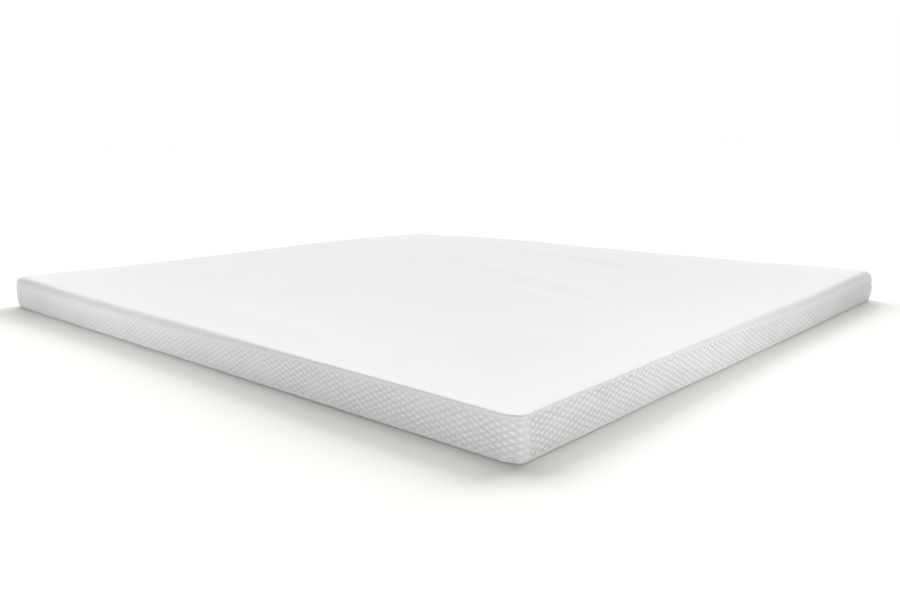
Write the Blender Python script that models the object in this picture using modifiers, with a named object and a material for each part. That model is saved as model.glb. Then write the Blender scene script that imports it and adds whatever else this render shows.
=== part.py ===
"""A padded mattress protector: a filled knitted pad with four side bands sewn round it.

Metres, +Z up. X runs along the length and Y across the width. The origin is the middle of the
underside.
"""

import math
from collections import namedtuple
from functools import partial

import bmesh
import bpy
from mathutils import Vector

# Size of the protector: its plan, its height at the rim and the plan radius of its corners
LENGTH = 2.000
WIDTH = 1.800
RIM = 0.083
CORNER = 0.040

# Crown: the middle stands this much above the rim, and most of the rise is near the rim
CROWN = 0.005
CROWN_REACH = 0.110

# Rounded top edge: how far it reaches in and down, crisp at the front right corner and soft away
# from it. The top panel covers it as far as the top seam, and the band carries on from there.
CRISP_IN = 0.0055
CRISP_DOWN = 0.0050
SOFT_IN = 0.026
SOFT_DOWN = 0.022
CRISP_REACH = 0.35
SOFT_FROM = 1.10
SEAM_TURN = 60.0
ROLL_TURNS = (0.0, 20.0, 40.0, SEAM_TURN)
ROLL_LIP = 0.0008
PANEL_INSET = 0.030

# Side bands: cloth thickness, the pinch at their foot, and the parting round and behind them
BAND = 0.002
FOOT_PINCH = 0.0025
FOOT_SEAM = 0.0045
PARTING = 0.0003
PARTING_BEHIND = 0.00035
BAND_LEVELS = (0.0, 0.08, 0.25, 0.5, 0.72, 0.87, 0.95, 1.0)

# Upright corner seams: a groove between two soft ridges, a little past the middle of the corner
SEAM_SHIFT = 0.011
GROOVE = 0.0035
GROOVE_REACH = 0.004
RIDGE = 0.0006
RIDGE_AT = 0.0065
RIDGE_REACH = 0.0045
SEAM_ROOM = 0.0006
SEAM_ROOM_REACH = 0.006
SEAM_STEPS = (0.0015, 0.0035, 0.006, 0.009, 0.013, SEAM_SHIFT, 0.024)

# Spacing of the sections along the straight of a side
SECTION = 0.105
# Half the height of a dent, as a share of the band's height
DENT_SPREAD = 0.6
# Step between the points that give the slope of a surface
NUDGE = 0.0004

# The sides: length, reach from the middle, how far the band passes the middle of the corner
Side = namedtuple("Side", "name length reach shift along outward")
SIDES = (
    Side("front", LENGTH, WIDTH / 2, SEAM_SHIFT, Vector((1, 0, 0)), Vector((0, -1, 0))),
    Side("right", WIDTH, LENGTH / 2, -SEAM_SHIFT, Vector((0, 1, 0)), Vector((1, 0, 0))),
    Side("back", LENGTH, WIDTH / 2, SEAM_SHIFT, Vector((-1, 0, 0)), Vector((0, 1, 0))),
    Side("left", WIDTH, LENGTH / 2, -SEAM_SHIFT, Vector((0, -1, 0)), Vector((-1, 0, 0))),
)

# Rounded foot of the pad below the bottom seam: how far in from the outline, and how high
FootRow = namedtuple("FootRow", "inset height")
FOOT = (
    FootRow(0.0026, 0.0026),
    FootRow(0.0036, 0.0010),
    FootRow(0.0085, 0.0),
)

# Soft dents of the sides: place along the side, half-width, level (0 foot, 1 top) and depth
Dent = namedtuple("Dent", "side along reach level depth")
DENTS = (
    Dent("front", -0.62, 0.20, 0.6, 0.0014),
    Dent("front", 0.08, 0.26, 0.2, 0.0018),
    Dent("front", 0.66, 0.15, 0.7, 0.0012),
    Dent("right", -0.42, 0.17, 0.0, 0.0030),
    Dent("right", 0.12, 0.20, 0.8, 0.0020),
    Dent("right", 0.62, 0.16, 0.9, 0.0022),
    Dent("back", -0.45, 0.22, 0.7, 0.0018),
    Dent("back", 0.38, 0.25, 0.3, 0.0020),
    Dent("left", -0.30, 0.20, 0.4, 0.0018),
    Dent("left", 0.45, 0.18, 0.8, 0.0016),
)

# Long soft swells and troughs of the top: middle, turn in degrees, half sizes and rise
Swell = namedtuple("Swell", "x y turn long wide rise")
SWELLS = (
    Swell(0.26, -0.05, -8, 0.46, 0.07, 0.0013),
    Swell(0.46, 0.16, -42, 0.50, 0.10, -0.0016),
    Swell(0.08, -0.30, -20, 0.50, 0.12, -0.0012),
    Swell(-0.45, -0.42, 12, 0.42, 0.15, 0.0014),
    Swell(-0.50, 0.30, 30, 0.40, 0.13, -0.0014),
    Swell(0.30, 0.62, 8, 0.45, 0.12, 0.0012),
    Swell(0.72, -0.52, 52, 0.26, 0.10, 0.0010),
    Swell(-0.98, 0.10, 90, 0.30, 0.09, -0.0016),
    Swell(0.98, 0.28, 90, 0.24, 0.09, -0.0018),
    Swell(-0.10, -0.88, 0, 0.34, 0.08, -0.0014),
    Swell(0.05, 0.88, 0, 0.36, 0.09, -0.0016),
)

# Fuller and flatter corners of the top: place, rise and reach
Lift = namedtuple("Lift", "x y rise reach")
LIFTS = (
    Lift(LENGTH / 2, -WIDTH / 2, -0.0020, 0.28),
    Lift(-LENGTH / 2, -WIDTH / 2, 0.0100, 0.28),
    Lift(LENGTH / 2, WIDTH / 2, 0.0075, 0.28),
    Lift(-LENGTH / 2, WIDTH / 2, -0.0160, 0.35),
)


def bell(value):
    """1 at 0, falling smoothly to 0 on both sides."""
    return math.exp(-value * value)


def ease(value):
    """0 below 0 and 1 above 1, with a smooth rise between them."""
    part = min(max(value, 0.0), 1.0)
    return part * part * (3 - 2 * part)


def half_straight(side):
    """Half the straight part of a side, between its corner arcs."""
    return side.length / 2 - CORNER


def half_side(side):
    """Half a side from its middle to the middle of the corner, measured round the corner arc."""
    return half_straight(side) + CORNER * math.pi / 4


def half_band(side):
    """Half a band from its middle to its upright seam."""
    return half_side(side) + side.shift


def band_stations(side):
    """Places along a band where its sections stand, close together at the two upright seams."""
    straight = half_straight(side)
    cells = round(2 * straight / SECTION)
    middle = [straight * (2 * cell / cells - 1) for cell in range(cells + 1)]
    ending = [half_band(side) - step for step in (0.0, *SEAM_STEPS)]
    return sorted([-place for place in ending] + middle + ending)


def pad_stations(side):
    """Places along a side of the pad, from the middle of one corner to the middle of the next."""
    beyond = [half_band(side) + step for step in SEAM_STEPS]
    places = [-place for place in beyond] + band_stations(side) + beyond
    return sorted(place for place in places if abs(place) < half_side(side) + PARTING)


def outline(side, along):
    """Point and outward direction of the plan outline."""
    straight = half_straight(side)
    turn = max(abs(along) - straight, 0.0) / CORNER
    sign = math.copysign(1.0, along)
    reach = sign * (min(abs(along), straight) + CORNER * math.sin(turn))
    out = side.reach - CORNER + CORNER * math.cos(turn)
    outward = side.along * (sign * math.sin(turn)) + side.outward * math.cos(turn)
    return side.along * reach + side.outward * out, outward


def edge_size(side, along):
    """How far the rounded top edge reaches in and down."""
    place = outline(side, along)[0]
    away = math.hypot(place.x - LENGTH / 2, place.y + WIDTH / 2)
    share = ease((away - CRISP_REACH) / (SOFT_FROM - CRISP_REACH))
    return CRISP_IN + share * (SOFT_IN - CRISP_IN), CRISP_DOWN + share * (SOFT_DOWN - CRISP_DOWN)


def seam_pinch(side, along):
    """How far the top seam stands in, where the rounded edge leaves the top panel for the band."""
    return edge_size(side, along)[0] * (1 - math.sin(math.radians(SEAM_TURN))) + ROLL_LIP


def inset(side, along, level):
    """How far the side stands in from the outline, from level 0 at the foot seam to 1 at the top."""
    height = 2 * level - 1
    pinch = (seam_pinch(side, along) if height > 0 else FOOT_PINCH) * height**4
    seam = abs(half_band(side) - abs(along))
    fold = GROOVE * bell(seam / GROOVE_REACH) - RIDGE * bell((seam - RIDGE_AT) / RIDGE_REACH)
    dents = sum(
        dent.depth * bell((along - dent.along) / dent.reach) * bell((level - dent.level) / DENT_SPREAD)
        for dent in DENTS
        if dent.side == side.name
    )
    return pinch + fold * (1 - height**2) + dents


def top_height(x, y):
    """Height of the top panel."""
    rise_x = 1 - math.exp(-max(LENGTH / 2 - abs(x), 0.0) / CROWN_REACH)
    rise_y = 1 - math.exp(-max(WIDTH / 2 - abs(y), 0.0) / CROWN_REACH)
    height = RIM + CROWN * rise_x * rise_y
    for swell in SWELLS:
        turn = math.radians(swell.turn)
        long = (x - swell.x) * math.cos(turn) + (y - swell.y) * math.sin(turn)
        wide = (y - swell.y) * math.cos(turn) - (x - swell.x) * math.sin(turn)
        height += swell.rise * bell(long / swell.long) * bell(wide / swell.wide)
    for lift in LIFTS:
        height += lift.rise * bell(math.hypot(x - lift.x, y - lift.y) / lift.reach)
    return height


def rim_height(side, along):
    """Height at which the rounded top edge starts."""
    point, outward = outline(side, along)
    start = point - outward * PANEL_INSET
    return top_height(start.x, start.y)


def rolled_height(side, along, turn):
    """Height of the rounded top edge, turned in degrees from the top towards the side."""
    return rim_height(side, along) - edge_size(side, along)[1] * (1 - math.cos(math.radians(turn)))


def side_point(side, along, depth, height):
    """Point of a side, given how far it stands in from the outline and how high it is."""
    point, outward = outline(side, along)
    place = point - outward * depth
    return Vector((place.x, place.y, height))


def band_point(side, along, level):
    """Point of a band's outer face."""
    top_seam = rolled_height(side, along, SEAM_TURN) - ROLL_LIP
    height = FOOT_SEAM + level * (top_seam - FOOT_SEAM)
    return side_point(side, along, inset(side, along, level), height)


def behind_band(side, along, level):
    """Point of the pad behind a band, parted from its inner face and a little more at the seams."""
    forward = band_point(side, along + NUDGE, level) - band_point(side, along - NUDGE, level)
    low = max(level - NUDGE, 0.0)
    high = min(level + NUDGE, 1.0)
    upward = band_point(side, along, high) - band_point(side, along, low)
    normal = forward.cross(upward).normalized()
    seam = abs(half_band(side) - abs(along))
    room = PARTING_BEHIND + SEAM_ROOM * bell(seam / SEAM_ROOM_REACH)
    return band_point(side, along, level) - normal * (BAND + room)


def rolled_edge(side, along, turn):
    """Point of the rounded top edge, turned in degrees from the top towards the side."""
    round_in = edge_size(side, along)[0] * (1 - math.sin(math.radians(turn)))
    depth = inset(side, along, 1.0) - seam_pinch(side, along) + round_in
    return side_point(side, along, depth, rolled_height(side, along, turn))


def seam_lip(side, along, level, back):
    """Point of the pad just past a band's edge, at the seam or further back behind it."""
    away = PARTING if level else -PARTING
    height = band_point(side, along, level).z + away
    return side_point(side, along, inset(side, along, level) + back, height)


def foot_edge(side, along, row):
    """Point of the rounded foot below the bottom seam."""
    return side_point(side, along, inset(side, along, 0.0) - FOOT_PINCH + row.inset, row.height)


def pad_rows():
    """Rows of the pad from its rounded top edge down to the underside, as functions of the place."""
    behind = BAND + PARTING_BEHIND
    rows = [partial(rolled_edge, turn=turn) for turn in ROLL_TURNS]
    rows += [partial(seam_lip, level=1.0, back=back) for back in (0.0, behind)]
    rows += [partial(behind_band, level=level) for level in reversed(BAND_LEVELS)]
    rows += [partial(seam_lip, level=0.0, back=back) for back in (behind, 0.0)]
    rows += [partial(foot_edge, row=row) for row in FOOT]
    return rows


def top_line(side, along, radius):
    """Distance from the middle of a grid line of the top panel."""
    turn = max(abs(along) - half_straight(side), 0.0) / CORNER
    reach = min(abs(along), half_straight(side)) + radius * math.sqrt(2) * math.sin(turn)
    return math.copysign(reach, along)


def rounded(x, y, radius):
    """A grid point moved so that the grid's square corners become arcs."""
    centre_x = LENGTH / 2 - CORNER
    centre_y = WIDTH / 2 - CORNER
    part_x = max(abs(x) - centre_x, 0.0) / radius
    part_y = max(abs(y) - centre_y, 0.0) / radius
    if part_x > 0 and part_y > 0:
        x = math.copysign(centre_x + radius * part_x * math.sqrt(1 - part_y**2 / 2), x)
        y = math.copysign(centre_y + radius * part_y * math.sqrt(1 - part_x**2 / 2), y)
    return x, y


def knit_material(name, color, roughness):
    """White knitted cloth."""
    material = bpy.data.materials.new(name)
    material.use_nodes = True
    shader = material.node_tree.nodes["Principled BSDF"]
    shader.inputs["Base Color"].default_value = (*color, 1.0)
    shader.inputs["Roughness"].default_value = roughness
    shader.inputs["Metallic"].default_value = 0.0
    return material


def finish(bm, name, material, collection):
    """Turn a bmesh into a smooth shaded object of the protector."""
    mesh = bpy.data.meshes.new(name)
    bm.to_mesh(mesh)
    bm.free()
    mesh.materials.append(material)
    mesh.shade_smooth()
    mesh.set_sharp_from_angle(angle=math.radians(50))
    piece = bpy.data.objects.new(name, mesh)
    collection.objects.link(piece)
    return piece


def grid_index(value, cells):
    """Which line of a grid from -1 to 1 a coordinate lies on."""
    return round((value + 1) / 2 * cells)


def make_pad(collection):
    """The filled pad: crowned top panel, rounded edges, sides behind the bands, flat underside."""
    front, right, back, left = SIDES
    radius = CORNER - PANEL_INSET
    across = pad_stations(front)
    deep = pad_stations(right)
    cells_x = len(across) - 1
    cells_y = len(deep) - 1

    bm = bmesh.new()
    side_layer = bm.verts.layers.int.new("side")
    along_layer = bm.verts.layers.float.new("along")
    bmesh.ops.create_grid(bm, x_segments=cells_x, y_segments=cells_y, size=1)
    for vert in bm.verts:
        column = grid_index(vert.co.x, cells_x)
        row = grid_index(vert.co.y, cells_y)
        if row in (0, cells_y):
            side = front if row == 0 else back
            vert[along_layer] = across[column] * side.along.x
        else:
            side = right if column == cells_x else left
            vert[along_layer] = deep[row] * side.along.y
        vert[side_layer] = SIDES.index(side)
        x, y = rounded(top_line(front, across[column], radius), top_line(right, deep[row], radius), radius)
        vert.co = (x, y, top_height(x, y))

    edge = [line for line in bm.edges if line.is_boundary]
    for place in pad_rows():
        made = bmesh.ops.extrude_edge_only(bm, edges=edge)["geom"]
        for vert in made:
            if isinstance(vert, bmesh.types.BMVert):
                vert.co = place(SIDES[vert[side_layer]], vert[along_layer])
        edge = [line for line in bm.edges if line.is_boundary]
    bmesh.ops.holes_fill(bm, edges=edge, sides=0)
    bmesh.ops.recalc_face_normals(bm, faces=bm.faces)
    return finish(bm, "pad", knit_material("panel_knit", (0.86, 0.86, 0.87), 0.85), collection)


def make_band(side, collection):
    """One side band: a strip of cloth between the top and bottom panels, from seam to seam."""
    places = band_stations(side)
    places[0] += PARTING / 2
    places[-1] -= PARTING / 2
    cells = len(places) - 1
    rows = len(BAND_LEVELS) - 1

    bm = bmesh.new()
    bmesh.ops.create_grid(bm, x_segments=cells, y_segments=rows, size=1)
    for vert in bm.verts:
        along = places[grid_index(vert.co.x, cells)]
        level = BAND_LEVELS[grid_index(vert.co.y, rows)]
        vert.co = band_point(side, along, level)
    name = f"band_{side.name}"
    piece = finish(bm, name, knit_material(f"{name}_knit", (0.78, 0.78, 0.79), 0.9), collection)
    cloth = piece.modifiers.new("cloth", "SOLIDIFY")
    cloth.thickness = BAND
    cloth.offset = -1
    cloth.use_even_offset = True
    return piece


def main():
    for item in list(bpy.data.objects):
        bpy.data.objects.remove(item)
    protector = bpy.data.collections.new("mattress_protector")
    bpy.context.scene.collection.children.link(protector)
    make_pad(protector)
    for side in SIDES:
        make_band(side, protector)


main()
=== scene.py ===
import math
from collections import namedtuple

import bpy
import numpy as np
from mathutils import Matrix, Vector


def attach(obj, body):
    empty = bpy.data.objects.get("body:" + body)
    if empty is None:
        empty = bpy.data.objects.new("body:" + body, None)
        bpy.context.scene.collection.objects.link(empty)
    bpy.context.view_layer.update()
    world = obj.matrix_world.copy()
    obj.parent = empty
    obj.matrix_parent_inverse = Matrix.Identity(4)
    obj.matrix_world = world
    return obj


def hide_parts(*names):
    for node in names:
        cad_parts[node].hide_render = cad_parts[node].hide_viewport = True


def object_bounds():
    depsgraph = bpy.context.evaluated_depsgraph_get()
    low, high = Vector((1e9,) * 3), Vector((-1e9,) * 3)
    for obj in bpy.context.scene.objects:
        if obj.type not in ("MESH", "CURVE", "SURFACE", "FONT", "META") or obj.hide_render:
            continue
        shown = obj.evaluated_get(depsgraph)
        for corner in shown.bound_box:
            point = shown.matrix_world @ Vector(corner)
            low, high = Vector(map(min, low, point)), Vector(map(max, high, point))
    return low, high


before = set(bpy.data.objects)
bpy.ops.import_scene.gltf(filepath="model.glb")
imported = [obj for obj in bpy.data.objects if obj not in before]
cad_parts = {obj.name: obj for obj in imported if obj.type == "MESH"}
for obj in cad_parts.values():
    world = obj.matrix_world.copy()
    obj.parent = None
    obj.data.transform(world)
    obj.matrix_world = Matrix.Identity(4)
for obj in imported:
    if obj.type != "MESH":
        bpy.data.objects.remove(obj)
cad_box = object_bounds()

# Size of the protector in metres: its plan from the frame, and its given rim height and corner radius
LENGTH = round(cad_box[1][0] - cad_box[0][0], 3)
WIDTH = round(cad_box[1][1] - cad_box[0][1], 3)
RIM = 0.083
CORNER = 0.040

# Crown of the top panel: its rise, and the distance in from the rim over which most of it rises
CROWN = 0.005
CROWN_REACH = 0.110

# Rounded top edge: how far it reaches in and down. It is crisp up to CRISP_REACH from the front
# right corner and soft from SOFT_FROM on.
CRISP_IN = 0.0055
CRISP_DOWN = 0.0050
SOFT_IN = 0.026
SOFT_DOWN = 0.022
CRISP_REACH = 0.35
SOFT_FROM = 1.10

# The top panel turns over that edge by SEAM_TURN degrees, in ROLL_STEPS steps, as far as the top
# seam. The band carries on from there, a small lip further in and down. The panel's crowned part
# ends PANEL_INSET in from the outline, and a strip with no crown joins it to the edge.
SEAM_TURN = 60.0
ROLL_STEPS = 9
CRISP_LIP = 0.0010
SOFT_LIP = 0.0001
PANEL_INSET = 0.030

# Side bands: thickness of their cloth, height of the bottom seam, how far that seam stands in, and
# the power by which a side turns in towards its top and bottom seams
BAND = 0.002
FOOT_SEAM = 0.0045
FOOT_PINCH = 0.0025
PINCH_POWER = 4

# Gaps between the pieces: behind a band, past its top and bottom edges, and between two bands
PARTING = 0.0012
LIP_PARTING = 0.00005
UPRIGHT_PARTING = 0.0001

# Upright seams: how far they stand past the middle of the corner, the depth and half-width of their
# groove, and the ridges beside it: how high, how far from the seam, and their half-width
SEAM_SHIFT = 0.011
GROOVE = 0.0014
GROOVE_REACH = 0.0016
RIDGE = 0.0020
RIDGE_AT = 0.0070
RIDGE_REACH = 0.0040

# Point of the front right corner, pushed out beyond its arc: how far, its half-width, how far it
# stands from the middle of the corner towards the right side, and the room round the corner for it
POINT = 0.0052
POINT_REACH = 0.015
POINT_SHIFT = 0.006
POINT_ROOM = 0.20

# Raised diamonds of the knit: their width, height and relief, and the power that shapes them
DIAMOND_WIDE = 0.024
DIAMOND_HIGH = 0.012
DIAMOND_RELIEF = 0.0016
DIAMOND_FULLNESS = 1.1

# How uneven they are: the spread of their reliefs, how far they drift across and up with the width
# and height of each drift's cells, and how much weaker they are in patches, with the patches' size
DIAMOND_UNEVEN = 0.6
DRIFT_ACROSS = 0.0030
DRIFT_ACROSS_WIDE = 0.045
DRIFT_ACROSS_HIGH = 0.03
DRIFT_UP = 0.0015
DRIFT_UP_WIDE = 0.04
DRIFT_UP_HIGH = 0.025
DIAMOND_PATCHES = 0.30
PATCH_WIDE = 0.05
PATCH_HIGH = 0.03

# Where they fade: over this height above the bottom seam, and on the top over this distance in from
# its front and right rims
FOOT_MARGIN = 0.0035
# On the top this also sets how far in from those rims the painted highlight and groove shade reach
TOP_FADE = 0.040

# How far the painted shade of the grooves sits below the relief, as if lit from above, as a share
# of a diamond's height
SHADE_DROP = 0.09

# Waves of the sides and their seams: depth, pitch, and how near to a band's ends the sides' waves
# start to die out. The top seam reads them this far ahead along the side, and the bottom seam as far
# behind.
SEAM_WAVE = 0.0006
SEAM_WAVE_PITCH = 0.013
SEAM_WAVE_MARGIN = 0.008
SEAM_WAVE_OFFSET = 0.5

# Puckers on the ridges of the upright seams: depth, pitch up the seam, length along the band, and
# half-width of the strip that they cover
PUCKER = 0.0011
PUCKER_PITCH = 0.0075
PUCKER_LENGTH = 0.02
PUCKER_REACH = 0.008

# Drawn fold beside the upright seams of the right and left bands: its distance from the seam, how
# far and at what pitch it waves, its depth and its half-width
DRAWN_AT = 0.0036
DRAWN_WAVE = 0.0013
DRAWN_PITCH = 0.011
DRAWN_DEPTH = 0.0046
DRAWN_WIDTH = 0.0012

# Fineness of the meshes: a band's columns, which are closer together up to BAND_FINE_REACH from its
# upright seams, its rows, the top panel's cells, the cuts in its outermost cells, and the angle in
# degrees above which an edge is sharp
BAND_STEP = 0.0021
BAND_FINE_STEP = 0.0008
BAND_FINE_REACH = 0.022
BAND_ROWS = 42
PANEL_CELL = 0.012
PANEL_CUTS = 3
SHARP_ANGLE = 55

# How near to an edge of the panel's grid a point is on it
ON_EDGE = 1e-6

# Cells each way in a table of random numbers
NOISE_CELLS = 64

# Seeds of the random numbers. Each band has BAND_SEED_STEP of them, from BAND_SEED on: its lattice
# takes the first two, and its diamonds and patches the ones at these offsets.
SEAM_WAVE_SEED = 11
PUCKER_SEED = 23
DRAWN_SEED = 31
BAND_SEED = 40
BAND_SEED_STEP = 10
DIAMOND_SEED_OFFSET = 2
PATCH_SEED_OFFSET = 5
TOP_SEED = 90

# How far apart in the noise the sides and the band ends lie, so that no two are alike
SIDE_ROW_STEP = 7.3
END_NUMBER_STEP = 5
PUCKER_ROW_STEP = 3.1
DRAWN_ROW_STEP = 2.3

# The sides: length, reach from the middle of the plan, how far the band's ends pass the middle of
# the corner, the height below the top seam over which its diamonds fade near the front right corner
# and far from it, the width beside its upright seams over which they fade, how strong they are in
# relief and in the painted shade of their grooves, and the directions along the side and out of it
Side = namedtuple("Side", "name length reach shift near_fade far_fade margin strong along outward")
X_AXIS = np.array((1.0, 0.0))
Y_AXIS = np.array((0.0, 1.0))
SIDES = (
    Side("front", LENGTH, WIDTH / 2, SEAM_SHIFT, 0.010, 0.040, 0.004, 1.0, X_AXIS, -Y_AXIS),
    Side("right", WIDTH, LENGTH / 2, -SEAM_SHIFT, 0.004, 0.030, 0.012, 1.3, Y_AXIS, X_AXIS),
    Side("back", LENGTH, WIDTH / 2, SEAM_SHIFT, 0.020, 0.040, 0.004, 1.0, -X_AXIS, Y_AXIS),
    Side("left", WIDTH, LENGTH / 2, -SEAM_SHIFT, 0.020, 0.040, 0.012, 1.3, -Y_AXIS, -X_AXIS),
)

# Distances from the front right corner up to which near_fade holds, and from which far_fade does
NEAR_FADE_REACH = 0.50
FAR_FADE_FROM = 1.70

# Levels of the pad's rows behind a band, from 0 at the foot seam to 1 at the top seam
BEHIND_LEVELS = (0.9, 0.5, 0.06)

# Rounded foot of the pad below the bottom seam: how far in from the outline, and how high
FootRow = namedtuple("FootRow", "inset height")
FOOT = (
    FootRow(0.0021, 0.0036),
    FootRow(0.0024, 0.0022),
    FootRow(0.0036, 0.0009),
    FootRow(0.0085, 0.0),
)

# Soft dents of the sides: place along the side, half-width, level (0 foot, 1 top) and depth
Dent = namedtuple("Dent", "side along reach level depth")
DENTS = (
    Dent("front", -0.62, 0.20, 0.6, 0.0014),
    Dent("front", 0.08, 0.26, 0.2, 0.0018),
    Dent("front", 0.66, 0.15, 0.7, 0.0012),
    Dent("right", -0.42, 0.17, 0.0, 0.0030),
    Dent("right", 0.12, 0.20, 0.8, 0.0020),
    Dent("right", 0.62, 0.16, 0.9, 0.0022),
    Dent("back", -0.45, 0.22, 0.7, 0.0018),
    Dent("back", 0.38, 0.25, 0.3, 0.0020),
    Dent("left", -0.30, 0.20, 0.4, 0.0018),
    Dent("left", 0.45, 0.18, 0.8, 0.0016),
)

# How far up and down a dent spreads, in levels
DENT_SPREAD = 0.6

# Long soft swells and troughs of the top: middle, turn in degrees, half sizes and rise
Swell = namedtuple("Swell", "x y turn long wide rise")
SWELLS = (
    Swell(0.26, -0.05, -8, 0.46, 0.07, 0.0013),
    Swell(0.46, 0.16, -42, 0.50, 0.10, -0.0016),
    Swell(0.08, -0.30, -20, 0.50, 0.12, -0.0012),
    Swell(-0.45, -0.42, 12, 0.42, 0.15, 0.0014),
    Swell(-0.50, 0.30, 30, 0.40, 0.13, -0.0014),
    Swell(0.30, 0.62, 8, 0.45, 0.12, 0.0012),
    Swell(0.72, -0.52, 52, 0.26, 0.10, 0.0010),
    Swell(-0.98, 0.10, 90, 0.30, 0.09, -0.0016),
    Swell(0.98, 0.28, 90, 0.24, 0.09, -0.0018),
    Swell(-0.10, -0.88, 0, 0.34, 0.08, -0.0014),
    Swell(0.05, 0.88, 0, 0.36, 0.09, -0.0016),
)

# Thin ripples of the top cloth, with the same columns
RIPPLES = (
    Swell(0.11, 0.19, -20, 0.55, 0.045, 0.0023),
    Swell(-0.33, 0.06, 39, 0.32, 0.060, -0.0018),
    Swell(0.35, 0.44, -25, 0.36, 0.050, -0.0021),
    Swell(0.02, -0.74, -3, 0.46, 0.060, 0.0016),
    Swell(0.67, -0.26, -32, 0.12, 0.030, 0.0014),
    Swell(0.76, -0.45, 0, 0.14, 0.025, 0.0010),
    Swell(-0.20, -0.42, 70, 0.22, 0.050, 0.0014),
    Swell(0.44, -0.02, -14, 0.26, 0.030, -0.0016),
    Swell(-0.05, 0.62, -12, 0.30, 0.035, 0.0020),
    Swell(0.70, 0.62, -40, 0.22, 0.040, 0.0018),
)

# Fuller and flatter corners of the top: place, rise and reach
Lift = namedtuple("Lift", "x y rise reach")
LIFTS = (
    Lift(LENGTH / 2, -WIDTH / 2, -0.0020, 0.28),
    Lift(-LENGTH / 2, -WIDTH / 2, 0.0100, 0.28),
    Lift(LENGTH / 2, WIDTH / 2, 0.0075, 0.28),
    Lift(-LENGTH / 2, WIDTH / 2, -0.0160, 0.35),
)

# The two knits: their colour where the diamonds are weak, on the diamonds, and of the painted shade in
# the grooves, the power of the diamonds' strength by which the first colour turns to the second, and
# the heights in millimetres of the diamonds and of the fine grain in the bump. On the top panel the
# second colour is a painted highlight, lighter towards its front and right rims and on its rounded edge.
Knit = namedtuple("Knit", "name plain face groove lean relief grain")
PANEL_KNIT = Knit(
    name="panel_knit",
    plain=(0.80, 0.80, 0.80),
    # painted highlight, lighter towards the top's front and right rims and on its rounded edge
    face=(0.885, 0.885, 0.885),
    # faint painted shade in the grooves near those rims
    groove=(0.85, 0.85, 0.85),
    lean=0.16,
    relief=0.45,
    grain=0.05,
)
BAND_KNIT = Knit(
    name="band_knit",
    plain=(0.86, 0.86, 0.86),
    face=(0.93, 0.93, 0.93),
    # painted shade in the grooves
    groove=(0.70, 0.70, 0.71),
    lean=1.0,
    relief=0.3,
    grain=0.08,
)
KNIT_ROUGHNESS = 0.9

# Fine grain of the knit: width and height of its loops, their share beside the fuzz, and the fuzz
LOOP_WIDE = 0.0016
LOOP_HIGH = 0.8 * LOOP_WIDE
LOOP_SHARE = 0.3
FUZZ_SCALE = 600.0
FUZZ_DETAIL = 3.0
MILLIMETRE = 0.001

# Camera: out from the front right corner and half a metre up. Its place, its turns in degrees, its
# lens and film width in millimetres, and how far it sees
CAMERA_PLACE = (1.754, -1.877, 0.509)
CAMERA_YAW = -42.49
CAMERA_PITCH = 11.05
CAMERA_ROLL = -0.56
CAMERA_LENS = 33.42
CAMERA_FILM = 36
CAMERA_SIGHT = 200

# Floor: its size, how far it lies below the pad, and its colour
FLOOR_SIZE = 120
FLOOR_DROP = 0.0006
FLOOR_COLOUR = (0.975, 0.98, 0.945, 1.0)

# World: its colour, how strongly it lights things, and how bright the camera sees it
WHITE = (1.0, 1.0, 1.0, 1.0)
WORLD_LIGHT = 0.03
WORLD_SEEN = 1.0

# Soft suns: azimuth, height and width in degrees, and strength
Sun = namedtuple("Sun", "name azimuth height width strength")
SUNS = (
    Sun("overhead", 130, 80, 50, 0.36),
    Sun("behind_front", 101, 27, 46, 3.12),
    Sun("behind_right", 159, 37, 46, 2.30),
    Sun("fill", -46, 3, 20, 1.22),
)

# Small panels of light, low outside the front and right sides
Panel = namedtuple("Panel", "name place target size watts")
PANELS = (
    Panel("left_panel", (-0.35, -1.84, 0.15), (-0.35, -0.9, 0.04), 0.25, 2.1),
    Panel("corner_panel", (1.35, -1.75, 0.15), (0.95, -0.9, 0.04), 0.25, 1.0),
    Panel("right_panel", (1.95, -0.18, 0.15), (1.0, -0.18, 0.05), 0.25, 2.7),
)


def bell(value):
    """1 at 0, falling smoothly to 0 on both sides."""
    return np.exp(-np.square(value))


def ease(value):
    """0 below 0 and 1 above 1, with a smooth rise between them."""
    part = np.clip(value, 0.0, 1.0)
    return part * part * (3 - 2 * part)


def random_table(seed):
    """Square table of random numbers from -1 to 1."""
    return np.random.default_rng(seed).uniform(-1, 1, (NOISE_CELLS, NOISE_CELLS))


def soft_noise(x, y, seed):
    """Smooth noise from -1 to 1 that changes over about one unit of x and y."""
    table = random_table(seed)
    cell_x = np.floor(x).astype(int)
    cell_y = np.floor(y).astype(int)
    part_x = ease(x - cell_x)
    part_y = ease(y - cell_y)
    low = [table[(cell_x + step) % NOISE_CELLS, cell_y % NOISE_CELLS] for step in (0, 1)]
    high = [table[(cell_x + step) % NOISE_CELLS, (cell_y + 1) % NOISE_CELLS] for step in (0, 1)]
    near = low[0] + (low[1] - low[0]) * part_x
    far = high[0] + (high[1] - high[0]) * part_x
    return near + (far - near) * part_y


def half_straight(side):
    """Half the straight part of a side, between its corner arcs."""
    return side.length / 2 - CORNER


def half_side(side):
    """Half a side from its middle to the middle of the corner, measured round the corner arc."""
    return half_straight(side) + CORNER * math.pi / 4


def half_band(side):
    """Half a band from its middle to its upright seam."""
    return half_side(side) + side.shift


def outline(side, along):
    """Points and outward directions of the plan outline."""
    straight = half_straight(side)
    turn = np.maximum(np.abs(along) - straight, 0.0) / CORNER
    sign = np.sign(along)
    reach = sign * (np.minimum(np.abs(along), straight) + CORNER * np.sin(turn))
    out = side.reach - CORNER + CORNER * np.cos(turn)
    points = np.outer(reach, side.along) + np.outer(out, side.outward)
    outward = np.outer(sign * np.sin(turn), side.along) + np.outer(np.cos(turn), side.outward)
    return points, outward


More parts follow.
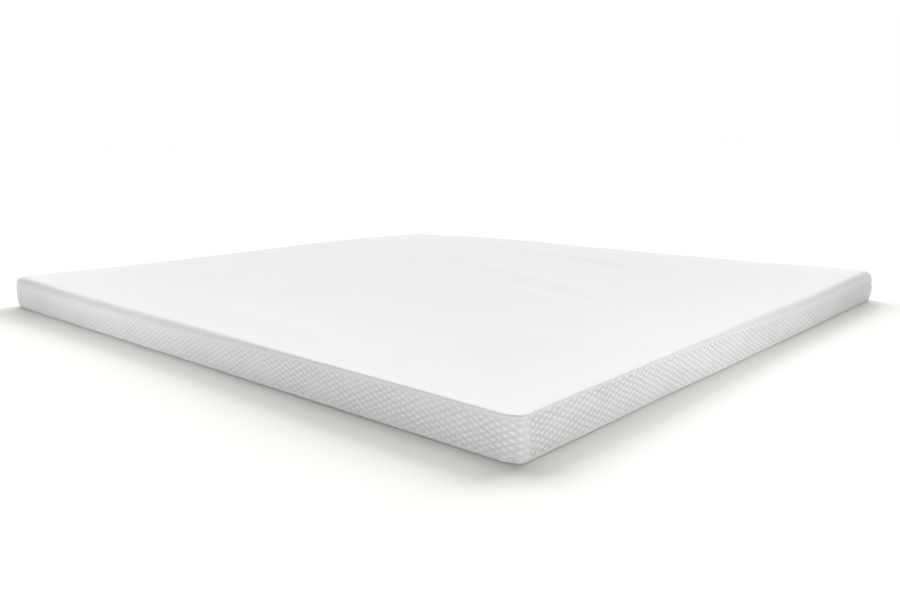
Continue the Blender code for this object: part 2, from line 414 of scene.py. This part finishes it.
def seam_wave(side, along):
    """Small unevenness along a side, with none where along is half the band."""
    away = ease(np.abs(half_band(side) - np.abs(along)) / SEAM_WAVE_MARGIN)
    row = np.full_like(along, SIDES.index(side) * SIDE_ROW_STEP)
    return SEAM_WAVE * away * soft_noise(along / SEAM_WAVE_PITCH, row, SEAM_WAVE_SEED)


def from_crisp_corner(side, along):
    """Distance from the front right corner."""
    points = outline(side, along)[0]
    return np.hypot(points[:, 0] - LENGTH / 2, points[:, 1] + WIDTH / 2)


def softness(side, along):
    """0 where the rounded top edge is crisp and 1 where it is soft."""
    return ease((from_crisp_corner(side, along) - CRISP_REACH) / (SOFT_FROM - CRISP_REACH))


def edge_size(side, along):
    """How far the rounded top edge reaches in and down."""
    share = softness(side, along)
    return CRISP_IN + share * (SOFT_IN - CRISP_IN), CRISP_DOWN + share * (SOFT_DOWN - CRISP_DOWN)


def seam_lip_size(side, along):
    """How far the band stands in and down from the end of the rounded top edge."""
    return CRISP_LIP + softness(side, along) * (SOFT_LIP - CRISP_LIP)


def seam_pinch(side, along):
    """How far the top seam stands in, where the rounded edge leaves the top panel for the band."""
    round_in = edge_size(side, along)[0] * (1 - math.sin(math.radians(SEAM_TURN)))
    return round_in + seam_lip_size(side, along)


def corner_point(side, along):
    """How far the front right corner is pushed out beyond its arc."""
    points = outline(side, along)[0]
    across = (points[:, 0] - LENGTH / 2 + points[:, 1] + WIDTH / 2) / math.sqrt(2)
    near = from_crisp_corner(side, along) < POINT_ROOM
    return near * POINT * bell((across - POINT_SHIFT) / POINT_REACH)


def inset(side, along, level):
    """How far the side stands in from the outline, from level 0 at the foot seam to 1 at the top."""
    height = 2 * level - 1
    at_seams = height**PINCH_POWER
    pinch = np.where(height > 0, seam_pinch(side, along), FOOT_PINCH) * at_seams
    seam = np.abs(half_band(side) - np.abs(along))
    fold = GROOVE * bell(seam / GROOVE_REACH) - RIDGE * bell((seam - RIDGE_AT) / RIDGE_REACH)
    depth = pinch + fold * (1 - at_seams)
    for dent in DENTS:
        if dent.side == side.name:
            along_share = bell((along - dent.along) / dent.reach)
            depth = depth + dent.depth * along_share * bell((level - dent.level) / DENT_SPREAD)
    return depth + seam_wave(side, along) * at_seams - corner_point(side, along)


def top_height(x, y):
    """Height of the top panel."""
    rise_x = 1 - np.exp(-np.maximum(LENGTH / 2 - np.abs(x), 0.0) / CROWN_REACH)
    rise_y = 1 - np.exp(-np.maximum(WIDTH / 2 - np.abs(y), 0.0) / CROWN_REACH)
    height = RIM + CROWN * rise_x * rise_y
    for swell in SWELLS + RIPPLES:
        turn = math.radians(swell.turn)
        long = (x - swell.x) * math.cos(turn) + (y - swell.y) * math.sin(turn)
        wide = (y - swell.y) * math.cos(turn) - (x - swell.x) * math.sin(turn)
        height = height + swell.rise * bell(long / swell.long) * bell(wide / swell.wide)
    for lift in LIFTS:
        height = height + lift.rise * bell(np.hypot(x - lift.x, y - lift.y) / lift.reach)
    return height


def rim_height(side, along):
    """Height at which the rounded top edge starts."""
    points, outward = outline(side, along)
    start = points - outward * PANEL_INSET
    return top_height(start[:, 0], start[:, 1])


def rolled_height(side, along, turn):
    """Height of the rounded top edge, turned in degrees from the top towards the side."""
    return rim_height(side, along) - edge_size(side, along)[1] * (1 - math.cos(math.radians(turn)))


def top_seam(side, along):
    """Height of the top seam."""
    wave = seam_wave(side, along + SEAM_WAVE_OFFSET) * (1 - softness(side, along))
    return rolled_height(side, along, SEAM_TURN) - seam_lip_size(side, along) + wave


def foot_seam(side, along):
    """Height of the bottom seam."""
    return FOOT_SEAM + seam_wave(side, along - SEAM_WAVE_OFFSET)


def side_points(side, along, depth, height):
    """Points of a side, given how far they stand in from the outline and how high they are."""
    points, outward = outline(side, along)
    return np.column_stack((points - outward * np.broadcast_to(depth, along.shape)[:, None], height))


def lattice(across, up, seed):
    """Place in the knit as two counts of diamonds, along its rising and its falling grooves."""
    drift_across = soft_noise(across / DRIFT_ACROSS_WIDE, up / DRIFT_ACROSS_HIGH, seed)
    across = across + DRIFT_ACROSS * drift_across
    drift_up = soft_noise(across / DRIFT_UP_WIDE, up / DRIFT_UP_HIGH, seed + 1)
    up = up + DRIFT_UP * drift_up
    part_across = across / DIAMOND_WIDE
    part_up = up / DIAMOND_HIGH
    return part_across + part_up, part_across - part_up


def diamonds(rising, falling, seed):
    """Relief of the knit from 0 in its grooves to 1 on its diamonds, each a little different."""
    puff = np.abs(np.cos(math.pi * rising) * np.cos(math.pi * falling)) ** DIAMOND_FULLNESS
    table = random_table(seed)
    column = np.round(rising).astype(int) % NOISE_CELLS
    row = np.round(falling).astype(int) % NOISE_CELLS
    return puff * (1 + DIAMOND_UNEVEN * table[column, row]) / (1 + DIAMOND_UNEVEN)


def end_number(side, along):
    """Number of a band's end, unlike any other's."""
    return SIDES.index(side) * END_NUMBER_STEP + np.sign(along)


def corner_puckers(side, along, height):
    """Small folds across the upright seams, drawn in by their stitching."""
    seam = half_band(side) - np.abs(along)
    reach = bell((seam - RIDGE_AT) / PUCKER_REACH)
    row = end_number(side, along) * PUCKER_ROW_STEP + seam / PUCKER_LENGTH
    fold = soft_noise(height / PUCKER_PITCH, row, PUCKER_SEED)
    return PUCKER * reach * fold


def drawn_fold(side, along, height):
    """Wavy fold beside the upright seams, on the bands that stop short of the corner's middle."""
    seam = half_band(side) - np.abs(along)
    row = end_number(side, along) * DRAWN_ROW_STEP
    place = DRAWN_AT + DRAWN_WAVE * soft_noise(height / DRAWN_PITCH, row, DRAWN_SEED)
    return (side.shift < 0) * DRAWN_DEPTH * bell((seam - place) / DRAWN_WIDTH)


def deselect_all():
    """Select nothing."""
    bpy.ops.object.select_all(action="DESELECT")


def vertex_places(piece):
    """The piece's vertices as rows of x, y and z."""
    places = np.empty(len(piece.data.vertices) * 3)
    piece.data.vertices.foreach_get("co", places)
    return places.reshape(-1, 3)


def put_vertices(piece, places, cut, knit):
    """Set the piece's vertices, with two vectors for each as attributes.

    cut is its place in the flat cloth, and knit its place in the lattice with the knit's strength.
    """
    piece.data.vertices.foreach_set("co", np.ascontiguousarray(places, dtype=np.float32).ravel())
    for name, values in (("cut", cut), ("knit", knit)):
        layer = piece.data.attributes.new(name, "FLOAT_VECTOR", "POINT")
        layer.data.foreach_set("vector", np.ascontiguousarray(values, dtype=np.float32).ravel())
    piece.data.update()


def band_stations(side):
    """Places along a band where its columns stand, closer together at its corner seams."""
    end = half_band(side) - UPRIGHT_PARTING / 2
    middle = end - BAND_FINE_REACH
    cells = round(2 * middle / BAND_STEP)
    fine = round(BAND_FINE_REACH / BAND_FINE_STEP)
    return np.concatenate(
        (
            np.linspace(-end, -middle, fine, endpoint=False),
            np.linspace(-middle, middle, cells, endpoint=False),
            np.linspace(middle, end, fine + 1),
        )
    )


def away_from_seams(side, along, up, high):
    """0 at a band's top and bottom seams, rising to 1 where its diamonds don't fade."""
    distance = from_crisp_corner(side, along)
    far = ease((distance - NEAR_FADE_REACH) / (FAR_FADE_FROM - NEAR_FADE_REACH))
    fade = side.near_fade + far * (side.far_fade - side.near_fade)
    return ease(up / FOOT_MARGIN) * ease((high - up) / fade)


def make_band(side, material):
    """One side band with its raised diamonds, as a sheet of cloth of its real thickness."""
    places = band_stations(side)
    deselect_all()
    bpy.ops.mesh.primitive_grid_add(x_subdivisions=len(places) - 1, y_subdivisions=BAND_ROWS, size=2)
    band = bpy.context.object
    band.name = f"knit_band_{side.name}"
    grid = vertex_places(band)
    column = np.rint((grid[:, 0] + 1) / 2 * (len(places) - 1)).astype(int)
    level = (grid[:, 1] + 1) / 2
    along = places[column]
    bottom = foot_seam(side, along)
    high = top_seam(side, along) - bottom
    up = level * high

    seed = BAND_SEED + BAND_SEED_STEP * SIDES.index(side)
    patch = soft_noise(along / PATCH_WIDE, up / PATCH_HIGH, seed + PATCH_SEED_OFFSET)
    patches = 1 - DIAMOND_PATCHES * (0.5 + 0.5 * patch)
    ends = away_from_seams(side, along, up, high)
    # How strong the diamonds are: their relief, and the painted shade in their grooves
    strength = side.strong * ends * ease((half_band(side) - np.abs(along)) / side.margin) * patches
    rising, falling = lattice(along, up - high / 2, seed)
    relief = DIAMOND_RELIEF * strength * diamonds(rising, falling, seed + DIAMOND_SEED_OFFSET)
    relief = relief + ends * (corner_puckers(side, along, up) - drawn_fold(side, along, up))
    points = side_points(side, along, inset(side, along, level) - relief, bottom + up)
    cut = np.column_stack((along, up, np.zeros_like(up)))
    put_vertices(band, points, cut, np.column_stack((rising, falling, strength)))

    cloth = band.modifiers.new("cloth", "SOLIDIFY")
    cloth.thickness = BAND
    cloth.offset = -1
    bpy.ops.object.modifier_apply(modifier="cloth")
    bpy.ops.object.shade_smooth_by_angle(angle=math.radians(SHARP_ANGLE))
    band.data.materials.clear()
    band.data.materials.append(material)
    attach(band, "root")
    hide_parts(f"band_{side.name}")


def panel_line(side, part, radius):
    """Place of a grid line of the top panel, whose part runs from -1 to 1 between the rims."""
    along = part * half_side(side)
    turn = np.maximum(np.abs(along) - half_straight(side), 0.0) / CORNER
    reach = np.minimum(np.abs(along), half_straight(side)) + radius * math.sqrt(2) * np.sin(turn)
    return np.sign(along) * reach


def rounded(x, y, radius):
    """Grid points moved so that the grid's square corners become arcs."""
    centre_x = LENGTH / 2 - CORNER
    centre_y = WIDTH / 2 - CORNER
    part_x = np.maximum(np.abs(x) - centre_x, 0.0) / radius
    part_y = np.maximum(np.abs(y) - centre_y, 0.0) / radius
    corner = (part_x > 0) & (part_y > 0)
    round_x = np.sign(x) * (centre_x + radius * part_x * np.sqrt(1 - part_y**2 / 2))
    round_y = np.sign(y) * (centre_y + radius * part_y * np.sqrt(1 - part_x**2 / 2))
    return np.where(corner, round_x, x), np.where(corner, round_y, y)


def rolled_edge(side, along, turn):
    """Row of the rounded top edge, turned in degrees from the top towards the side."""
    round_in = edge_size(side, along)[0] * (1 - math.sin(math.radians(turn)))
    depth = inset(side, along, np.ones_like(along)) - seam_pinch(side, along) + round_in
    return side_points(side, along, depth, rolled_height(side, along, turn))


def seam_lip(side, along, level, back):
    """Row of the pad just past a band's edge, at the seam or further back behind it."""
    if level:
        height = top_seam(side, along) + LIP_PARTING
    else:
        height = foot_seam(side, along) - LIP_PARTING
    return side_points(side, along, inset(side, along, np.full_like(along, level)) + back, height)


def behind_band(side, along, level):
    """Row of the pad behind a band."""
    height = FOOT_SEAM + level * (top_seam(side, along) - FOOT_SEAM)
    depth = inset(side, along, np.full_like(along, level)) + BAND + PARTING
    return side_points(side, along, depth, height)


def foot_edge(side, along, row):
    """Row of the rounded foot below the bottom seam."""
    depth = inset(side, along, np.zeros_like(along)) - FOOT_PINCH + row.inset
    return side_points(side, along, depth, np.full_like(along, row.height))


def pad_rows():
    """Rows of the pad from its rounded top edge down to the underside: how each is made."""
    behind = BAND + PARTING
    rows = [(rolled_edge, (SEAM_TURN * step / ROLL_STEPS,)) for step in range(ROLL_STEPS + 1)]
    rows += [(seam_lip, (1.0, 0.0)), (seam_lip, (1.0, behind))]
    rows += [(behind_band, (level,)) for level in BEHIND_LEVELS]
    rows += [(seam_lip, (0.0, behind)), (seam_lip, (0.0, 0.0))]
    rows += [(foot_edge, (row,)) for row in FOOT]
    return rows


def select_rim_cells(piece, cells_x, cells_y):
    """Select the outermost cells of a grid from -1 to 1, whose middles lie 1 / cells from its edge."""
    for face in piece.data.polygons:
        outer_x = abs(face.center.x) > 1 - 1.5 / cells_x
        outer_y = abs(face.center.y) > 1 - 1.5 / cells_y
        face.select = bool(outer_x or outer_y)


def make_pad_grid(cells_x, cells_y, row_count):
    """The pad's faces before they are shaped.

    A grid from -1 to 1 is cut finer at its rim. Its rows go down from there, one unit apart, and the
    last one is closed.
    """
    deselect_all()
    bpy.ops.mesh.primitive_grid_add(x_subdivisions=cells_x, y_subdivisions=cells_y, size=2)
    pad = bpy.context.object
    pad.name = "knit_pad"
    bpy.ops.object.mode_set(mode="EDIT")
    bpy.ops.mesh.select_mode(type="FACE")
    bpy.ops.mesh.select_all(action="DESELECT")
    bpy.ops.object.mode_set(mode="OBJECT")
    select_rim_cells(pad, cells_x, cells_y)
    bpy.ops.object.mode_set(mode="EDIT")
    bpy.ops.mesh.subdivide(number_cuts=PANEL_CUTS)
    bpy.ops.mesh.select_all(action="DESELECT")
    bpy.ops.mesh.select_mode(type="EDGE")
    bpy.ops.mesh.select_non_manifold(
        extend=False, use_multi_face=False, use_non_contiguous=False, use_verts=False
    )
    for _ in range(row_count):
        bpy.ops.mesh.extrude_region_move(TRANSFORM_OT_translate={"value": (0, 0, -1)})
    bpy.ops.mesh.edge_face_add()
    bpy.ops.object.mode_set(mode="OBJECT")
    return pad


def grid_edge(side, grid):
    """Which points of the pad's grid lie on a side, and the place of every point along it."""
    if side.along[0]:
        on_side = np.abs(grid[:, 1] + side.along[0]) < ON_EDGE
        return on_side, grid[:, 0] * side.along[0] * half_side(side)
    between_corners = np.abs(grid[:, 1]) < 1 - ON_EDGE
    on_side = (np.abs(grid[:, 0] - side.along[1]) < ON_EDGE) & between_corners
    return on_side, grid[:, 1] * side.along[1] * half_side(side)


def make_pad(material):
    """The filled pad: crowned top panel, rounded edges, sides behind the bands, flat underside."""
    front, right = SIDES[:2]
    cells_x = round(2 * half_side(front) / PANEL_CELL)
    cells_y = round(2 * half_side(right) / PANEL_CELL)
    rows = pad_rows()
    pad = make_pad_grid(cells_x, cells_y, len(rows))

    grid = vertex_places(pad)
    row_number = np.rint(-grid[:, 2]).astype(int)
    radius = CORNER - PANEL_INSET
    x, y = rounded(panel_line(front, grid[:, 0], radius), panel_line(right, grid[:, 1], radius), radius)
    places = np.column_stack((x, y, top_height(x, y)))
    cut = np.column_stack((x, y, np.zeros_like(x)))
    for side in SIDES:
        on_side, along = grid_edge(side, grid)
        before = places.copy()
        for number, (make_row, details) in enumerate(rows, start=1):
            chosen = on_side & (row_number == number)
            places[chosen] = make_row(side, along[chosen], *details)
            round_cloth = np.linalg.norm(places[chosen] - before[chosen], axis=1)
            cut[chosen, :2] += outline(side, along[chosen])[1] * round_cloth[:, None]
    rising, falling = lattice(cut[:, 0], cut[:, 1], TOP_SEED)
    # The knit's strength on the top: full at its front and right rims and fading inwards. It sets the
    # diamonds' bump there, the painted highlight and the painted shade in the grooves.
    inside = np.minimum(LENGTH / 2 - cut[:, 0], WIDTH / 2 + cut[:, 1])
    strength = np.exp(-np.maximum(inside, 0.0) / TOP_FADE)
    put_vertices(pad, places, cut, np.column_stack((rising, falling, strength)))

    bpy.ops.object.shade_smooth_by_angle(angle=math.radians(SHARP_ANGLE))
    pad.data.materials.clear()
    pad.data.materials.append(material)
    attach(pad, "root")
    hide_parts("pad")


class Wire:
    """A node's output in an expression: each operator adds its Math node."""

    def __init__(self, graph, socket):
        self.graph = graph
        self.socket = socket

    def math(self, operation, first, second=0.0):
        """Add a Math node and take its output."""
        made = self.graph.node("Math", {0: first, 1: second}, operation=operation)
        return Wire(self.graph, made.outputs[0])

    def __add__(self, other):
        return self.math("ADD", self, other)

    def __radd__(self, other):
        return self.math("ADD", other, self)

    def __sub__(self, other):
        return self.math("SUBTRACT", self, other)

    def __rsub__(self, other):
        return self.math("SUBTRACT", other, self)

    def __mul__(self, other):
        return self.math("MULTIPLY", self, other)

    def __rmul__(self, other):
        return self.math("MULTIPLY", other, self)

    def __pow__(self, other):
        return self.math("POWER", self, other)

    def __abs__(self):
        return self.math("ABSOLUTE", self)

    def cosine(self):
        return self.math("COSINE", self)


class Graph:
    """The node tree of a new material."""

    def __init__(self, name):
        self.material = bpy.data.materials.new(name)
        self.material.use_nodes = True
        self.tree = self.material.node_tree
        self.shader = self.tree.nodes["Principled BSDF"]

    def node(self, kind, inputs=None, **settings):
        """Add a node of a type, with its settings, and the values or links of its sockets."""
        made = self.tree.nodes.new(f"ShaderNode{kind}")
        for name, value in settings.items():
            setattr(made, name, value)
        for name, value in (inputs or {}).items():
            self.put(made.inputs[name], value)
        return made

    def put(self, socket, value):
        """Link a wire to a socket, or set its value."""
        if isinstance(value, Wire):
            self.tree.links.new(value.socket, socket)
        else:
            socket.default_value = value

    def wire(self, kind, output, inputs=None, **settings):
        """Add a node and take one of its outputs."""
        return Wire(self, self.node(kind, inputs, **settings).outputs[output])


def make_knit(look):
    """White knit: plain, turning to face where its diamonds are strong, with painted groove shade."""
    graph = Graph(look.name)
    cut = graph.wire("Attribute", "Vector", attribute_name="cut")
    flat = graph.node("SeparateXYZ", {0: cut})
    across, up = (Wire(graph, flat.outputs[axis]) for axis in "XY")
    counts = graph.node("SeparateXYZ", {0: graph.wire("Attribute", "Vector", attribute_name="knit")})
    rising, falling, strength = (Wire(graph, counts.outputs[axis]) for axis in "XYZ")

    puff = abs((rising * math.pi).cosine() * (falling * math.pi).cosine()) ** DIAMOND_FULLNESS
    # Painted shade in the grooves, set a little below them as if lit from above
    low_rising = (rising + SHADE_DROP) * math.pi
    low_falling = (falling - SHADE_DROP) * math.pi
    painted_groove_shade = (1 - abs(low_rising.cosine() * low_falling.cosine()) ** DIAMOND_FULLNESS) * strength
    # On the top panel this mix is a painted highlight towards its front and right rims
    blend = {0: strength**look.lean, 6: (*look.plain, 1.0), 7: (*look.face, 1.0)}
    tone_and_painted_rim_light = graph.wire("Mix", 2, blend, data_type="RGBA")
    colour = graph.wire("Mix", 2, {0: painted_groove_shade, 6: tone_and_painted_rim_light, 7: (*look.groove, 1.0)}, data_type="RGBA")
    graph.put(graph.shader.inputs["Base Color"], colour)

    loops = (across * (2 * math.pi / LOOP_WIDE)).cosine() + (up * (2 * math.pi / LOOP_HIGH)).cosine()
    fuzz = graph.wire("TexNoise", "Fac", {"Vector": cut, "Scale": FUZZ_SCALE, "Detail": FUZZ_DETAIL})
    height = puff * strength * look.relief + (loops * LOOP_SHARE + fuzz) * look.grain
    bump = graph.wire("Bump", "Normal", {"Height": height, "Strength": 1.0, "Distance": MILLIMETRE})
    graph.put(graph.shader.inputs["Normal"], bump)
    graph.shader.inputs["Roughness"].default_value = KNIT_ROUGHNESS
    graph.shader.inputs["Specular IOR Level"].default_value = 0.0
    return graph.material


def make_floor():
    """A wide pale floor."""
    deselect_all()
    bpy.ops.mesh.primitive_plane_add(size=FLOOR_SIZE, location=(0, 0, -FLOOR_DROP))
    floor = bpy.context.object
    floor.name = "studio_floor"
    graph = Graph("studio_floor")
    graph.shader.inputs["Base Color"].default_value = FLOOR_COLOUR
    graph.shader.inputs["Roughness"].default_value = 1.0
    graph.shader.inputs["Specular IOR Level"].default_value = 0.0
    floor.data.materials.append(graph.material)


def white_background(tree, strength):
    """A white Background node in the world."""
    made = tree.nodes.new("ShaderNodeBackground")
    made.inputs["Color"].default_value = WHITE
    made.inputs["Strength"].default_value = strength
    return made


def make_world():
    """An even world that the camera sees as white."""
    world = bpy.data.worlds.new("studio")
    bpy.context.scene.world = world
    world.use_nodes = True
    tree = world.node_tree
    tree.nodes.clear()
    output = tree.nodes.new("ShaderNodeOutputWorld")
    lit = white_background(tree, WORLD_LIGHT)
    seen = white_background(tree, WORLD_SEEN)
    path = tree.nodes.new("ShaderNodeLightPath")
    mix = tree.nodes.new("ShaderNodeMixShader")
    tree.links.new(path.outputs["Is Camera Ray"], mix.inputs["Fac"])
    tree.links.new(lit.outputs["Background"], mix.inputs[1])
    tree.links.new(seen.outputs["Background"], mix.inputs[2])
    tree.links.new(mix.outputs["Shader"], output.inputs["Surface"])


def make_lamp(name, kind, strength, source):
    """A lamp, given the direction that its light comes from."""
    light = bpy.data.lights.new(name, kind)
    light.energy = strength
    lamp = bpy.data.objects.new(name, light)
    bpy.context.scene.collection.objects.link(lamp)
    lamp.rotation_euler = source.to_track_quat("Z", "Y").to_euler()
    return lamp


def make_lights():
    """The soft suns and the small panels."""
    for sun in SUNS:
        turn = math.radians(sun.azimuth)
        rise = math.radians(sun.height)
        level_part = math.cos(rise)
        source = Vector((math.cos(turn) * level_part, math.sin(turn) * level_part, math.sin(rise)))
        lamp = make_lamp(sun.name, "SUN", sun.strength, source)
        lamp.data.angle = math.radians(sun.width)
    for panel in PANELS:
        source = Vector(panel.place) - Vector(panel.target)
        lamp = make_lamp(panel.name, "AREA", panel.watts, source)
        lamp.data.size = panel.size
        lamp.location = panel.place


def make_camera():
    """The camera at the photograph's viewing angle."""
    yaw, pitch, roll = (math.radians(turn) for turn in (CAMERA_YAW, CAMERA_PITCH, CAMERA_ROLL))
    level_part = math.cos(pitch)
    forward = Vector((math.sin(yaw) * level_part, math.cos(yaw) * level_part, -math.sin(pitch)))
    level_right = forward.cross(Vector((0, 0, 1))).normalized()
    level_up = level_right.cross(forward)
    right = level_right * math.cos(roll) + level_up * math.sin(roll)
    up = level_up * math.cos(roll) - level_right * math.sin(roll)
    data = bpy.data.cameras.new("view")
    data.lens = CAMERA_LENS
    data.sensor_width = CAMERA_FILM
    data.clip_end = CAMERA_SIGHT
    camera = bpy.data.objects.new("view", data)
    bpy.context.scene.collection.objects.link(camera)
    turned = Matrix((right, up, -forward)).transposed().to_4x4()
    camera.matrix_world = Matrix.Translation(CAMERA_PLACE) @ turned
    bpy.context.scene.camera = camera


bpy.context.scene.view_settings.view_transform = "Standard"
make_camera()
make_world()
make_lights()
make_floor()
make_pad(make_knit(PANEL_KNIT))
band_knit = make_knit(BAND_KNIT)
for side in SIDES:
    make_band(side, band_knit)
